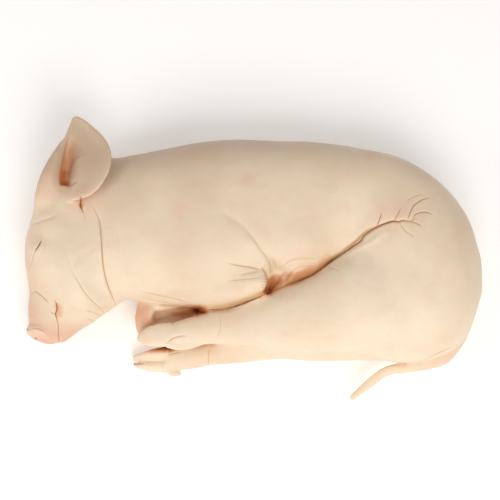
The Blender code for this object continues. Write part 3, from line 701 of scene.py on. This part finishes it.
# Each fold's values, in the order of Fold.
FOLDS = {name: Fold(*values) for name, values in {
    # Flank: the belly dips under the thigh, and the skin gathers at the upper end.
    "thigh_front": (1.0, 1.4, (
        (14, -41.5), (20, -38.5), (28.5, -34.5), (39.5, -30), (52, -26), (60, -22.5),
    ), -1.5, 0.5),
    "thigh_edge": (2.0, 2.4, (
        (34, -32), (46, -28), (58, -23.5), (69, -18), (80, -10), (90, -2.5), (98, 2.5), (106, 8),
    ), -4.5, 1.2),
    "flank": (3.0, 1.1, (
        (80, -10), (86, -5), (95, 1), (104, 7), (113, 13.5), (119.5, 18), (122, 22), (125, 25.5),
        (131.5, 30.5), (138, 34), (145, 37), (155, 40), (161.5, 39.5), (166, 41), (174, 40.5),
        (180, 44.5),
    ), -1.0, 1.0),
    "flank_strip": (0.6, 3.4, (
        (94, 2.5), (103, 9), (111, 15), (117.5, 20.5), (123, 26), (130.5, 31), (140, 35.5),
    ), 0, 0.65, 2),
    "thigh_ridge": (-1.1, 2.8, (
        (90, -8.5), (99, -1.5), (108.5, 5), (122, 12.3), (133, 17.7), (144, 26), (153, 29),
    ), 0, 0, 2),
    "thigh_tuck": (0.6, 0.8, ((82, -9), (90, -11.5), (98, -14.5)), 0.2, 0.3),
    "gather_a": (0.9, 0.7, ((137, 33), (140.5, 42.5), (143, 50)), 0.15, 0.9),
    "gather_b": (1.0, 0.8, ((155, 39), (159.5, 46), (164.5, 56)), 0.2, 0.6),
    "gather_c": (1.2, 0.8, (
        (170, 41), (172, 43.5), (174, 49.5), (178, 57), (182.5, 61), (188, 64), (197, 67),
    ), 0.25, 0.8),
    "gather_d": (1.0, 0.8, (
        (177, 41), (178.5, 46), (181.5, 48.5), (187, 50), (192.5, 50), (200, 47.5),
    ), 0.2, 0.9),
    "gather_e": (0.9, 0.7, ((173, 40.5), (179.5, 38.5), (187, 34.5)), 0.15, 0.8),
    "gather_f": (0.8, 0.8, ((163, 39.5), (166, 33), (170.5, 28.5), (180, 22.5)), 0.15, 0.45),
    "gather_g": (0.5, 0.8, ((170, 62), (176, 66.5), (183.5, 69), (189, 71)), 0.1, 0.4),
    # Elbow and belly.
    "shoulder": (0.7, 2.4, (
        (21, -20), (20.5, -9), (16, 0), (10, 8), (2, 19.5), (-5.5, 27.5),
    ), 0.7, 0.16, 2),
    "shoulder_soft": (0.8, 5, ((8, 12), (0, 23), (-10, 33), (-22, 42), (-36, 50)), 0.8, 0, 2),
    "shoulder_rear": (1.0, 3.5, ((23, -22), (23, -10), (19, 2), (14, 11)), 0, 0.12, 2),
    "chest_edge": (3.5, 1.7, (
        (11, -43), (3, -46.5), (-9, -51), (-22.5, -55.5), (-31.5, -57.5), (-42, -58.5),
        (-51, -58.7), (-60, -58.5),
    ), 0, 0.9),
    "chest_under": (0.3, 3.6, (
        (-60, -57.5), (-42, -57.2), (-31.5, -56.2), (-22.5, -54.2), (-9, -49.8), (3, -45.3),
        (12, -41.5), (17, -38), (22, -35),
    ), -2.8, 1.4),
    "elbow": (1.2, 1.5, (
        (10, -11), (14, -16), (16.5, -22.5), (17, -28), (16.5, -33), (13.5, -39),
    ), -4.0, 0.7),
    "elbow_upper": (0.6, 1.1, (
        (-28, -6), (-13.5, -9), (-1.5, -10.5), (10.5, -14), (14, -16),
    ), -0.25, 0.45, 1.6),
    "elbow_middle": (0.4, 1.1, ((-14, -19.5), (-1.5, -16.5), (11, -14.5)), -0.2, 0.3, 1.6),
    "elbow_lower": (0.4, 1.1, ((-27, -25.5), (-6, -23.5), (12, -22)), -0.2, 0.25, 1.6),
    "belly_front": (1.3, 1.0, (
        (18, -37), (23, -32), (29.5, -23.5), (34, -19), (39, -15.5),
    ), 0.5, 0.6),
    "belly_arc": (1.1, 2.0, (
        (31, -14), (39.5, -6), (47, -2.5), (56, -1.5), (67, -1.5), (73, -3),
    ), 0.8, 0.2),
    "belly_low": (0.9, 1.6, ((36, -26), (42, -18), (51, -12), (62, -9)), 0.6, 0.15),
    "slot_top": (0.4, 1.6, (
        (-46, -58.5), (-52, -57.5), (-59, -55), (-66.5, -52.5), (-78, -53), (-90, -52),
        (-102, -50),
    ), -4.5, 0.5),
    "tail_edge": (1.8, 1.1, (
        (156, -114.5), (168.3, -115), (180.4, -114.4), (191.4, -111.7), (202.4, -106.2),
        (213.4, -101.2), (223.3, -96.8), (230, -91.5),
    ), 1.4, 0.5),
    # Neck and ear.
    "neck": (1.7, 1.0, (
        (-175, 58), (-172.5, 52), (-168, 40.5), (-166.5, 27.5), (-165.5, 13), (-164.5, -2),
        (-162.5, -16.5), (-158.5, -31), (-153.5, -43), (-147.5, -56),
    ), -0.8, 0.6),
    "neck_rear": (0.4, 1.4, ((-147, 38), (-147, 21.5), (-146, -8), (-144, -26)), -0.2, 0.1),
    "behind_ear": (2.2, 1.1, (
        (-188.2, 69), (-188.4, 62), (-188.6, 58), (-187, 53), (-185, 49),
    ), 0, 0.9),
    "below_ear": (0.6, 0.8, ((-187.2, 54), (-184.5, 48), (-182, 40)), 0.2, 0.3),
    "ear_wall": (0.4, 2.2, (
        (-201, 133), (-204.3, 125), (-207, 112), (-209.5, 99), (-211, 86.5), (-210.5, 79),
    ), -5.5, 0.2),
    "ear_ridge": (-0.7, 2.6, (
        (-201, 84), (-199, 93), (-196, 101), (-190, 108), (-182, 113),
    ), 0, 0, 2),
    "ear_foot": (0.4, 1.6, (
        (-212, 80.5), (-208, 80), (-204, 79.3), (-200.5, 78.3), (-197, 80), (-192, 84),
    ), -3.0, 0.2),
    # Face.
    "brow": (0.8, 1.8, ((-243, 36), (-231, 41), (-214, 46.5)), 0, 0.1, 2),
    "eye_corner": (0.4, 0.7, ((-230.5, 30), (-231, 23), (-232, 17)), 0.2, 0.2),
    "eye": (2.4, 0.8, (
        (-231.3, 19.5), (-232.5, 17), (-234, 14), (-236, 11), (-239, 6),
    ), 0.5, 1.0),
    "eye_front": (0.8, 0.8, (
        (-237, 9), (-239, 6), (-241, 0), (-242.5, -6.5), (-243.5, -12),
    ), 0.3, 0.3),
    "eye_under": (0.5, 1.6, ((-226, 24), (-228, 13), (-232, 4), (-236, -3)), 0.2, 0, 2),
    "nose_bridge": (1.1, 0.8, (
        (-243, -40), (-241.5, -38.5), (-238, -37.5), (-235, -39.5), (-229, -44.5), (-223, -51),
    ), -0.3, 0.6),
    "mouth_corner": (0.5, 0.8, ((-223, -47), (-219.5, -46), (-217, -47)), 0.2, 0.15),
    "mouth_slit": (2.4, 0.8, (
        (-217.5, -46), (-215.5, -50), (-214.5, -55), (-215, -59), (-216, -61.8), (-214.8, -66),
        (-214, -70),
    ), 0.5, 1.0),
    "mouth": (2.0, 0.8, (
        (-213.5, -62), (-211.5, -72), (-211, -78.5), (-211.5, -85), (-212, -98),
    ), 0.3, 0.35, 1.0, True),
    "lip_front": (0.6, 0.6, ((-221.5, -60), (-218, -61.8), (-215, -61.8)), 0.1, 0.7),
    "snout_rim": (1.0, 0.9, (
        (-248.5, -81), (-244.5, -79.5), (-238, -77.5), (-231, -79.5), (-225.5, -84), (-219, -89),
    ), 0, 0.3),
    "snout_corner": (0.9, 0.9, ((-249, -72), (-247.5, -77), (-245, -81.5)), 0, 1.0),
    "nostril": (2.2, 1.1, ((-239, -88.6), (-236.5, -89.4)), 0, 0.7, 2),
    "snout_tick_a": (0.5, 0.7, ((-247, -54), (-241, -56)), 0.2, 0.2),
    "snout_tick_b": (0.5, 0.7, ((-247, -62), (-241, -63)), 0.2, 0.2),
    "jaw_upper": (0.4, 1.8, ((-203, 8), (-200, -4), (-198, -14), (-192, -26)), 0.3, 0, 2),
    "jaw_long": (1.0, 0.8, (
        (-199, -9), (-194, -20.5), (-187.5, -32), (-181, -41.5), (-173.5, -49), (-166, -55.5),
        (-157, -58.5),
    ), 0.35, 0.35),
    "jaw_front": (0.7, 0.8, ((-207, -48), (-196, -54.5), (-187, -59.5)), 0.3, 0.2),
    "jaw_middle": (0.8, 0.8, ((-186, -57.5), (-175, -60), (-167, -63), (-160, -63.5)), 0.3, 0.35),
    "jaw_edge": (0.7, 0.8, ((-182, -67), (-176, -69), (-170, -72)), 0.2, 0.35),
    "jaw_end": (0.6, 0.8, ((-166, -57.5), (-160, -62), (-155, -62.5)), 0.2, 0.5),
    "cheek_front": (0.5, 2.4, ((-187, 7), (-193, -4.5), (-196.5, -13)), 0.2, 0, 2),
    "cheek_rear": (0.5, 2.4, ((-171, 12), (-180, 5), (-188, -7)), 0.2, 0, 2),
    # Forelegs and feet.
    "forearm": (1.2, 0.9, (
        (-125, -36.5), (-101, -42), (-84.5, -45.5), (-74, -49), (-65, -53),
    ), 0.5, 0.4),
    "forearm_low": (0.8, 0.9, ((-119, -44.5), (-105.5, -48), (-92.5, -50), (-79, -53)), 0.3, 0.4),
    "ankle_upper": (0.6, 1.0, ((-36, -60.5), (-34, -70.5), (-36, -82), (-38.5, -92)), 0.3, 0.3),
    "ankle_lower": (0.6, 1.0, ((-46.5, -97), (-48, -113), (-46, -123)), 0.3, 0.45),
    "dew_claw": (1.6, 1.3, (
        (-95, -94.5), (-91, -92), (-86, -88.5), (-79.5, -86.5), (-72, -86),
    ), 0, 0.45),
    "foot_low": (0.7, 0.8, ((-94, -107.5), (-86, -105.5), (-77, -103.5)), 0.2, 0.6),
    "foot_wrinkle": (0.4, 0.8, ((-100, -115), (-98, -121), (-96.5, -128)), 0.2, 0.3),
    "hock_a": (0.4, 1.0, ((32, -79), (41, -84), (52, -86)), 0.2, 0.1),
    "hock_b": (0.4, 1.0, ((30, -88), (40, -93), (50, -94)), 0.2, 0.1),
    "cleft": (3, 1.3, ((-144, -113), (-128.5, -114), (-118, -113)), 0, 0.45, 1.3, True),
}.items()}
# The hem of the elbow is puckered by short tucks.
TUCKS = 5
TUCK_TOP = -20
TUCK_STEP = 3.3
for i in range(TUCKS):
    tuck = TUCK_TOP - TUCK_STEP * i
    bulge = 0.4 * (i % 2) + 2.5 - abs(i - 2)
    line = ((17 + bulge / 2, tuck - 0.8), (14.5, tuck), (10, tuck + 0.4))
    FOLDS[f"tuck_{i}"] = Fold(0.7, 1.0, line, 0.2, 0.3)
# Folds that the far side of the head has too, on the table.
FAR_FOLDS = [FOLDS[name] for name in (
    "eye", "eye_front", "nose_bridge", "mouth_slit", "jaw_long", "jaw_front", "nostril",
)]
# The skin is made finer twice, within so many millimetres of a fold.
REFINED_WITHIN = (3.0, 1.3)

for within in REFINED_WITHIN:
    upper = shown_from(pig_skin.data, EYE)
    refine_near(pig_skin, FOLDS.values(), EYE, upper, within)
upper = shown_from(pig_skin.data, EYE)
under = shown_from(pig_skin.data, EYE_BELOW)
swell_skin(pig_skin.data, SWELLS, EYE, upper)
press_hollows(pig_skin.data, HOLLOWS, EYE, upper)
press_folds(pig_skin.data, FOLDS.values(), EYE, upper)
press_folds(pig_skin.data, FAR_FOLDS, EYE_BELOW, under)


# ------------------------------------------------------------------------------------------
# Unevenness. Loose skin over ribs and muscle is never quite smooth: it has wide shallow dents
# and small lumps. Then the mesh is thinned between the folds.

SKIN_TRIANGLES = 185000
DENT_SIZE = 34
DENT_DEPTH = 0.6
LUMP_SIZE = 11
LUMP_HEIGHT = 0.2
KEPT_NEAR_FOLD = 0.5

points = points_of(pig_skin.data)
rise = np.array([
    DENT_DEPTH * noise.noise(Vector(point) / DENT_SIZE)
    + LUMP_HEIGHT * noise.noise(Vector(point) / LUMP_SIZE)
    for point in points
])
put_points(pig_skin.data, points + normals_of(pig_skin.data) * rise[:, None])

# Right beside a fold the skin is kept as fine as it is.
loose = pig_skin.vertex_groups.new(name="loose")
free = fold_distance(points, FOLDS.values(), EYE, upper) > KEPT_NEAR_FOLD
loose.add(np.flatnonzero(free).tolist(), 1, "REPLACE")
thin = pig_skin.modifiers.new("thin out", "DECIMATE")
thin.ratio = SKIN_TRIANGLES / sum(len(face.vertices) - 2 for face in pig_skin.data.polygons)
thin.vertex_group = "loose"
pig_skin = baked(pig_skin, "pig_skin")


# ------------------------------------------------------------------------------------------
# Skin tones. Scalded skin is cream, paler at cheek, ham, thigh and feet, pinker at snout, tail
# and joints, grey tan on the ear, and warm at the wrist and mouth. Part of the paleness is
# painted light, and painted shade darkens the back edge and a few bright places, and turns
# folds and narrow gaps warm to dark brown. Each is an attribute of the mesh, in soft patches or
# along the folds.

# Soft round patches of colour: each one's centre, radius and strength.
PINK = (
    ((-229, -90, 28), 30, 1.0), ((-200, -84, 34), 36, 0.75), ((-240, -60, 36), 30, 0.6),
    ((-246, 8, 52), 30, 0.25), ((-242, -24, 54), 36, 0.25), ((-234, 48, 50), 46, 0.2),
    ((-222, 78, 78), 30, 0.3), ((-184, 58, 88), 24, 0.4), ((-118, -88, 48), 26, 0.25),
    ((-132, -112, 12), 14, 0.25), ((-122, -62, 32), 26, 0.5), ((-38, -112, 18), 40, 0.2),
    ((216, -100, 38), 26, 0.5), ((190, -112, 34), 22, 0.2), ((56, -16, 96), 34, 0.2),
    ((150, 36, 108), 30, 0.3), ((130, 106, 84), 16, 0.35), ((-78, 42, 108), 14, 0.25),
    ((-6, 74, 108), 14, 0.25),
)
# Warm orange patches at the wrist and the slot beside it, the mouth, the jaw's end and the ear:
# partly the skin's own warmth and partly painted shade in these recesses.
RUST_AND_SHADE = (
    ((-112, -62, 40), 18, 0.3), ((-119, -63, 46), 18, 0.5), ((-154, -61, 58), 10, 0.35),
    ((-84, -62, 22), 24, 0.4), ((-62, -60, 22), 28, 0.7), ((-209, -57, 67), 7, 0.5),
    ((-209, -64, 63), 7, 0.5), ((-198, 114, 74), 16, 0.25),
)
# Painted shade: where narrow gaps turn warm to dark brown, as they are seen from EYE.
SHADES = (
    ((-208.5, 83), 8, 0.75), ((-207, 92), 9, 0.75), ((-205, 104), 11, 0.5),
    ((-199, 116), 14, 0.25), ((-202.5, 81), 7, 0.6), ((-188, 57), 5, 0.8), ((-187, 65), 5, 0.4),
    ((-55, -59), 10, 1.0), ((-62, -58), 10, 0.85), ((-76, -59), 14, 0.55), ((-92, -61), 18, 0.3),
    ((-106, -63), 18, 0.12), ((14, -40), 11, 1.0), ((17, -38), 7, 1.0), ((20, -35), 9, 0.7),
    ((20, -28), 11, 0.6), ((21, -18), 12, 0.4), ((31, -28), 14, 0.5), ((44, -23), 15, 0.55),
    ((54, -15), 14, 0.6), ((66, -13), 12, 0.5), ((76, -6), 10, 0.5), ((84, -1), 8, 0.35),
    ((20, -5), 14, 0.25),
    # Between the feet, and where the tail leaves the ham.
    ((-112, -101), 10, 0.6), ((-101, -98), 11, 0.9), ((-92, -98), 12, 0.9), ((-76, -96), 12, 0.5),
    ((-58, -95), 12, 0.4), ((-42, -94), 10, 0.4), ((-24, -95), 12, 0.3), ((168, -116), 9, 0.35),
    ((185, -115), 10, 0.35), ((201, -110), 9, 0.35), ((218, -102), 8, 0.3),
)
# The ear's thin skin is grey tan, and painted shade darkens its front wall further. The rest is
# painted shade: along the back edge, which turns away from the light, and in patches over the
# neck, arm, rump, flank, snout side and jaw.
TAN_AND_SHADE = (
    ((-184, 106, 84), 54, 0.85), ((-190, 140, 76), 26, 0.4), ((-222, 92, 78), 38, 1.0),
    ((-160, 100, 90), 30, 0.2), ((-57, 78, 92), 50, 0.3), ((-140, 58, 98), 40, 0.3),
    ((-130, 122, 56), 70, 0.55), ((-80, 132, 56), 76, 0.7), ((-20, 140, 58), 76, 0.65),
    ((40, 140, 58), 72, 0.5), ((100, 134, 58), 60, 0.25), ((-60, -6, 104), 60, 0.2),
    ((204, 14, 74), 62, 0.4), ((188, 98, 70), 44, 0.35), ((174, 40, 98), 28, 0.2),
    ((-236, -58, 46), 34, 0.3), ((-200, -86, 36), 30, 0.35),
)
# Paler patches, partly the skin's own paler tone and partly painted light: they brighten the ham,
# cheek and thigh, and lift the shade on the lower foot under the upper one and on the neck beside
# the ear.
PALE_AND_LIT_AREAS = (
    ((150, -52, 116), 86, 0.8), ((-186, -14, 80), 52, 0.6), ((-128, -4, 92), 46, 0.3),
    ((50, -56, 80), 54, 0.5), ((-160, 82, 76), 30, 0.9), ((108, 46, 112), 46, 0.5),
    ((-112, -120, 16), 36, 0.9), ((-112, -92, 52), 26, 0.5),
)


def painted(points, patches):
    """How strongly each point is covered by the patches, from 0 to 1."""
    bare = np.ones(len(points))
    for centre, radius, strength in patches:
        gap = np.linalg.norm(points - centre, axis=1) / radius
        bare *= 1 - strength * np.clip(1 - gap ** 2, 0, 1) ** 1.5
    return 1 - bare


STAIN_AND_SHADE_BREADTH = 0.4
# A side that dips takes painted shade so many half widths far, and fully where it dips by
# FULL_DIP.
DIP_REACH = 1.5
FULL_DIP = 6


def creased(points, folds, eye, shown):
    """Brown stain and painted shade of each point from the folds: at their bottom and on dipping
    sides.
    """
    crease = np.zeros(len(points))
    for fold in folds:
        near, gap, hold = fold_reach(points, fold, eye, shown)
        # A deep fold's stain and painted shade is broader, and so is that of a fold with a round
        # bottom.
        breadth = STAIN_AND_SHADE_BREADTH + 0.1 * max(fold.depth, 0) + 0.5 * (fold.sharp - 1) * fold.width
        line = np.exp(-(gap / breadth) ** 2)
        dip = left_side(gap, fold) * np.exp(-(gap / (DIP_REACH * fold.width)) ** 2)
        stain_and_shade = np.maximum(line, dip * min(1.0, max(0.0, -fold.over / FULL_DIP)))
        crease[near] = np.maximum(crease[near], np.minimum(fold.stain_and_shade * hold * stain_and_shade, 1))
    return crease


# Rays look for skin within so many millimetres, and start a little off their own.
GAP_REACH = 18
GAP_RAYS = 18
RAY_LIFT = 0.3


def closeness(data, reach, rays):
    """How much of the space before each point is filled by skin nearer than reach."""
    points, normals = points_of(data), normals_of(data)
    tree = skin_tree(data)
    chance = np.random.default_rng(seed=7)
    filled = np.zeros(len(points))
    for _ in range(rays):
        # Most rays leave near the normal, and none along the skin.
        aim = unit(normals * 1.02 + unit(chance.normal(size=points.shape)))
        for i, (point, ray) in enumerate(zip(points + normals * RAY_LIFT, aim)):
            if tree.ray_cast(Vector(point), Vector(ray), reach)[0] is not None:
                filled[i] += 1 / rays
    return filled


def store(data, name, values):
    """Keeps a value for each point of the skin, for its material."""
    layer = data.attributes.new(name, "FLOAT", "POINT")
    layer.data.foreach_set("value", values.astype(np.float32))


data = pig_skin.data
points = points_of(data)
upper = shown_from(data, EYE)
under = shown_from(data, EYE_BELOW)
# Brown stain and painted shade along the folds.
crease = np.maximum(
    creased(points, FOLDS.values(), EYE, upper),
    creased(points, FAR_FOLDS, EYE_BELOW, under),
)
store(data, "crease", crease)
for name, patches in {"tan_and_shade": TAN_AND_SHADE, "pale": PALE_AND_LIT_AREAS, "pink": PINK, "rust_and_shade": RUST_AND_SHADE}.items():
    store(data, name, painted(points, patches))
# How closely skin crowds each point drives painted shade in the material.
close = spread(data, closeness(data, GAP_REACH, GAP_RAYS), 8)
store(data, "close", close)
# Painted shade in gaps counts from where a tenth of the space is filled, and in full from about a
# third on.
gaps = np.clip(close * 4 - 0.4, 0, 1) * (spread(data, upper, 6) > 0)
store(data, "shade", spread(data, painted(as_seen(points, EYE), SHADES) * gaps, 2))

# The piece is set down on the table, over the middle of the frame.
points[:, 2] = np.maximum(points[:, 2], 0)
points[:, :2] -= (points[:, :2].max(axis=0) + points[:, :2].min(axis=0)) / 2
put_points(data, points)
data.shade_smooth()


class Finish:
    """An output of a node in a material, with arithmetic that adds Math nodes."""

    def __init__(self, tree, socket=None):
        self.tree = tree
        self.socket = socket

    def node(self, kind, settings, sockets, output=0):
        """A new node with its settings, then its sockets, and one of its outputs."""
        made = self.tree.nodes.new(kind)
        for name, value in settings.items():
            setattr(made, name, value)
        for key, value in sockets.items():
            if isinstance(value, Finish):
                self.tree.links.new(value.socket, made.inputs[key])
            else:
                made.inputs[key].default_value = value
        return Finish(self.tree, made.outputs[output])

    def maths(self, operation, first, second):
        """A Math node."""
        return self.node("ShaderNodeMath", {"operation": operation}, {0: first, 1: second})

    def __add__(self, other):
        return self.maths("ADD", self, other)

    __radd__ = __add__

    def __sub__(self, other):
        return self.maths("SUBTRACT", self, other)

    def __rsub__(self, other):
        return self.maths("SUBTRACT", other, self)

    def __mul__(self, other):
        return self.maths("MULTIPLY", self, other)

    __rmul__ = __mul__

    def mixed(self, mask, first, second):
        """The first colour turned towards the second by a mask."""
        return self.node("ShaderNodeMix", {"data_type": "RGBA"}, {0: mask, 6: first, 7: second}, 2)


def colour(red, green, blue):
    """A display colour of 0 to 255 a channel, as linear light."""
    shares = [channel / 255 for channel in (red, green, blue)]
    return (*[((share + 0.055) / 1.055) ** 2.4 for share in shares], 1.0)


# The base tones and their blotches; then what pale, pink, rusty and brown places turn towards.
# WHITE also stands for painted light, GREY_TAN, RUSTY and BROWN also for painted shade, and
# SHADE and DEEP are the painted shade of folds and gaps.
CREAM = colour(232, 211, 184)
PALE = colour(238, 220, 196)
FLUSH = colour(225, 168, 144)
WHITE = colour(248, 232, 208)
GREY_TAN = colour(196, 168, 142)
BROWN = colour(192, 140, 76)
RUSTY = colour(206, 120, 60)
SHADE = colour(204, 132, 70)
DEEP = colour(118, 26, 0)

skin = bpy.data.materials.new("scalded_skin")
skin.use_nodes = True
shader = skin.node_tree.nodes["Principled BSDF"]
tree = Finish(skin.node_tree)
place = tree.node("ShaderNodeTexCoord", {}, {}, "Object")


def noisy(size, detail=3.0):
    """A noise on the skin whose blotches are about so many millimetres wide, from 0 to 1."""
    return tree.node("ShaderNodeTexNoise", {}, {
        "Vector": place, "Scale": 1 / (size * MM), "Detail": detail,
    })


def between(value, low, high):
    """A value as a share of the way from low to high, from 0 to 1."""
    return tree.node("ShaderNodeMapRange", {"interpolation_type": "SMOOTHSTEP"}, {
        "Value": value, "From Min": low, "From Max": high,
    })


def attribute(name):
    """A value that is kept on the mesh."""
    return tree.node("ShaderNodeAttribute", {"attribute_name": name}, {}, "Fac")


# Sizes of the noises in millimetres.
BLOTCHES = 60
MOTTLE = 14
LUMPS = 9
GRAIN = 1.6
PORES_PER_METRE = 900.0

blotches = between(noisy(BLOTCHES), 0.35, 0.7)
mottle = between(noisy(MOTTLE), 0.4, 0.7)
crease = attribute("crease")
close = attribute("close")
shade = attribute("shade")
tone = tree.mixed(blotches * 0.6, CREAM, PALE)
# Each mask turns the tone towards its tint. Besides the skin's own tones, the pale mask carries
# painted light, and the tan, rust, close, shade and crease masks carry painted shade.
for mask, tint in (
    (attribute("pale") * 0.7, WHITE),
    (attribute("tan_and_shade"), GREY_TAN),
    (mottle * 0.10, FLUSH),
    (attribute("pink") * (0.7 + 0.3 * mottle), FLUSH),
    (attribute("rust_and_shade"), RUSTY),
    (between(close, 0.55, 1.0) * 0.5, SHADE),
    (between(close, 0.85, 1.0) * 0.6, DEEP),
    (between(shade, 0.0, 0.7) * 0.9, SHADE),
    (between(shade, 0.5, 1.0), DEEP),
    (between(crease, 0.0, 0.6) * 0.7, BROWN),
    (between(crease, 0.5, 1.0) * 0.85, DEEP),
):
    tone = tree.mixed(mask, tone, tint)
skin.node_tree.links.new(tone.socket, shader.inputs["Base Color"])

# Fine relief: the pores of the bristles, a fine grain and soft lumps.
pores = tree.node("ShaderNodeTexVoronoi", {}, {"Vector": place, "Scale": PORES_PER_METRE})
relief = pores * 0.25 + noisy(GRAIN, 4.0) * 0.5 + noisy(LUMPS) * 1.2
bump = tree.node("ShaderNodeBump", {}, {
    "Strength": 0.35, "Distance": 0.0004, "Height": relief,
})
skin.node_tree.links.new(bump.socket, shader.inputs["Normal"])

# The roughness: the damp skin shines a little, and less in folds and gaps.
gloss = 0.5 + 0.3 * crease + 0.4 * shade - 0.08 * mottle
skin.node_tree.links.new(gloss.socket, shader.inputs["Roughness"])
for name, value in {
    "Subsurface Weight": 0.35,
    "Subsurface Radius": (1.0, 0.45, 0.25),
    "Subsurface Scale": 0.003,
    "IOR": 1.42,
}.items():
    shader.inputs[name].default_value = value

data.materials.clear()
data.materials.append(skin)
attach(pig_skin, "root")
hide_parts("suckling_pig")


# ------------------------------------------------------------------------------------------
# Studio. A plain pale floor under soft light from above and from the belly side, and a camera
# that looks steeply down on the shown side.

FLOOR_HALF = 3.0

ground = bmesh.new()
bmesh.ops.create_grid(ground, x_segments=1, y_segments=1, size=FLOOR_HALF / MM)
floor = linked("floor", ground)
pale = bpy.data.materials.new("pale_floor")
pale.use_nodes = True
for name, value in {
    "Base Color": colour(244, 242, 240),
    "Roughness": 0.8,
    "Emission Color": (1, 1, 1, 1),
    "Emission Strength": 0.2,
}.items():
    pale.node_tree.nodes["Principled BSDF"].inputs[name].default_value = value
floor.data.materials.append(pale)

world = bpy.data.worlds.new("soft_room")
world.use_nodes = True
sky = world.node_tree.nodes["Background"].inputs
sky["Color"].default_value = (1.0, 0.985, 0.97, 1.0)
sky["Strength"].default_value = 0.5
bpy.context.scene.world = world
bpy.context.scene.view_settings.view_transform = "Standard"

LAMP_AIM_HEIGHT = 0.05


def soft_lamp(name, place, size, power, warmth):
    """A square soft lamp that shines on the middle of the object."""
    light = bpy.data.lights.new(name, "AREA")
    light.size = size
    light.energy = power
    light.color = warmth
    lamp = placed(name, light)
    lamp.location = place
    aim = Vector((0, 0, LAMP_AIM_HEIGHT)) - Vector(place)
    lamp.rotation_euler = aim.to_track_quat("-Z", "Y").to_euler()


soft_lamp("key", (0.4, -1.4, 1.7), 1.3, 28, (1.0, 0.99, 0.97))
soft_lamp("side", (-1.5, -0.3, 0.9), 0.9, 6, (1.0, 0.985, 0.96))

VIEW_HEIGHT = math.radians(80)
VIEW_DISTANCE = 1.5
VIEW_WIDTH = 0.55
SENSOR = 36
target = Vector((-0.0017, 0.0085, 0.05))
back = Vector((0, -math.cos(VIEW_HEIGHT), math.sin(VIEW_HEIGHT)))
lens = bpy.data.cameras.new("camera")
lens.sensor_width = SENSOR
lens.lens = SENSOR * VIEW_DISTANCE / VIEW_WIDTH
camera = placed("camera", lens)
camera.location = target + back * VIEW_DISTANCE
camera.rotation_euler = (-back).to_track_quat("-Z", "Y").to_euler()
bpy.context.scene.camera = camera
